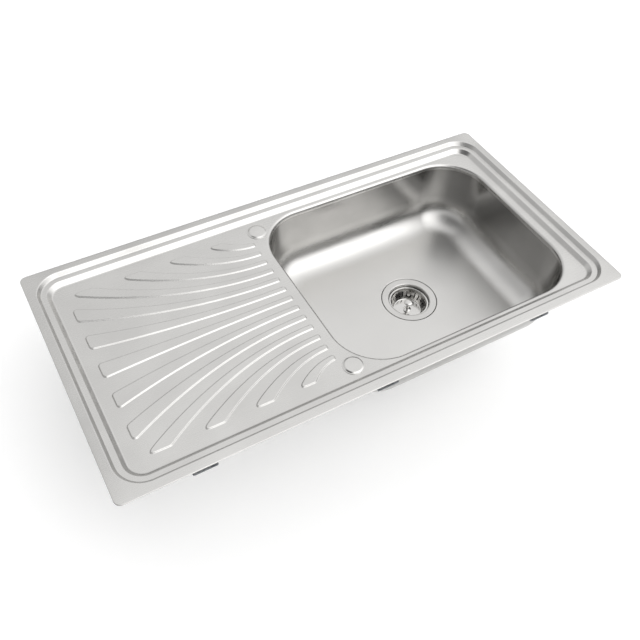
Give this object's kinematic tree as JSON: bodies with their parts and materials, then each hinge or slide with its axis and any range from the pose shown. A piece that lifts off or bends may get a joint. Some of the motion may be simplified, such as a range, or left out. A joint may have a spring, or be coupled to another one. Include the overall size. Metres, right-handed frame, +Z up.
{
  "type": "kitchen sink with drainboard",
  "caption": "Inset stainless kitchen sink with a fan-ribbed drainer, one deep bowl, a lift-out strainer basket, an overflow and swing-out worktop clips.",
  "frame": {"origin": "centre of the rim's outline, in the plane where the rim and its seal meet the worktop", "axes": "+X along the sink from the drainer to the bowl, +Y to the back, +Z up out of the worktop"},
  "size_m": [1, 0.5, 0.2727],
  "materials": {
    "steel_deck": "satin stainless steel with fine lengthwise grain",
    "steel_bowl": "smooth stainless steel, semi-mirror walls",
    "steel_waste": "polished stainless steel",
    "zinc": "zinc-plated steel",
    "rubber": "matte black rubber",
    "foam": "closed-cell foam strip",
    "bitumen": "bitumen sheet",
    "plastic": "moulded white polypropylene",
    "plug": "moulded grey plastic"
  },
  "bodies": {
    "sink": {"drainer_deck": "steel_deck", "bowl": "steel_bowl", "rim_seal": "foam", "sound_pad_left": "bitumen", "sound_pad_right": "bitumen", "flange_gasket": "rubber", "strainer_flange": "steel_waste", "body_gasket": "rubber", "waste_body": "plastic", "clamp_screw": "steel_waste", "overflow_rose": "steel_waste", "overflow_screw": "steel_waste", "overflow_gasket": "rubber", "overflow_elbow": "plastic", "overflow_pipe": "plastic", "overflow_washer": "rubber", "overflow_nut": "plastic", "clip_lug_1": "zinc", "clip_lug_2": "zinc", "clip_lug_3": "zinc", "clip_lug_4": "zinc", "clip_lug_5": "zinc", "clip_lug_6": "zinc", "clip_lug_7": "zinc", "clip_lug_8": "zinc"},
    "strainer_basket": {"basket": "steel_waste", "basket_seal": "rubber", "basket_knob": "steel_waste"},
    "front_tap_cover": {"tap_cover_front": "steel_waste", "tap_plug_front": "plug"},
    "back_tap_cover": {"tap_cover_back": "steel_waste", "tap_plug_back": "plug"},
    "clip_1": {"clip_screw_1": "zinc", "clip_dog_1": "zinc"},
    "clip_2": {"clip_screw_2": "zinc", "clip_dog_2": "zinc"},
    "clip_3": {"clip_screw_3": "zinc", "clip_dog_3": "zinc"},
    "clip_4": {"clip_screw_4": "zinc", "clip_dog_4": "zinc"},
    "clip_5": {"clip_screw_5": "zinc", "clip_dog_5": "zinc"},
    "clip_6": {"clip_screw_6": "zinc", "clip_dog_6": "zinc"},
    "clip_7": {"clip_screw_7": "zinc", "clip_dog_7": "zinc"},
    "clip_8": {"clip_screw_8": "zinc", "clip_dog_8": "zinc"}
  },
  "joints": [
    {"name": "basket_lift", "type": "slide", "parent": "sink", "child": "strainer_basket", "axis": [0, 0, 1], "range_m": [0, 0.215]},
    {"name": "front_cover_lift", "type": "slide", "parent": "sink", "child": "front_tap_cover", "axis": [0, 0, 1], "range_m": [0, 0.03]},
    {"name": "back_cover_lift", "type": "slide", "parent": "sink", "child": "back_tap_cover", "axis": [0, 0, 1], "range_m": [0, 0.03]},
    {"name": "clip_swing_1", "type": "hinge", "parent": "sink", "child": "clip_1", "pos_m": [-0.34, -0.2234, -0.047], "axis": [0, 0, 1], "range_deg": [0, 90]},
    {"name": "clip_swing_2", "type": "hinge", "parent": "sink", "child": "clip_2", "pos_m": [0, -0.2234, -0.047], "axis": [0, 0, 1], "range_deg": [0, 90]},
    {"name": "clip_swing_3", "type": "hinge", "parent": "sink", "child": "clip_3", "pos_m": [0.34, -0.2234, -0.047], "axis": [0, 0, 1], "range_deg": [0, 90]},
    {"name": "clip_swing_4", "type": "hinge", "parent": "sink", "child": "clip_4", "pos_m": [-0.34, 0.2234, -0.047], "axis": [0, 0, 1], "range_deg": [0, 90]},
    {"name": "clip_swing_5", "type": "hinge", "parent": "sink", "child": "clip_5", "pos_m": [0, 0.2234, -0.047], "axis": [0, 0, 1], "range_deg": [0, 90]},
    {"name": "clip_swing_6", "type": "hinge", "parent": "sink", "child": "clip_6", "pos_m": [0.34, 0.2234, -0.047], "axis": [0, 0, 1], "range_deg": [0, 90]},
    {"name": "clip_swing_7", "type": "hinge", "parent": "sink", "child": "clip_7", "pos_m": [-0.4734, 0, -0.047], "axis": [0, 0, 1], "range_deg": [0, 90]},
    {"name": "clip_swing_8", "type": "hinge", "parent": "sink", "child": "clip_8", "pos_m": [0.4734, 0, -0.047], "axis": [0, 0, 1], "range_deg": [0, 90]}
  ]
}
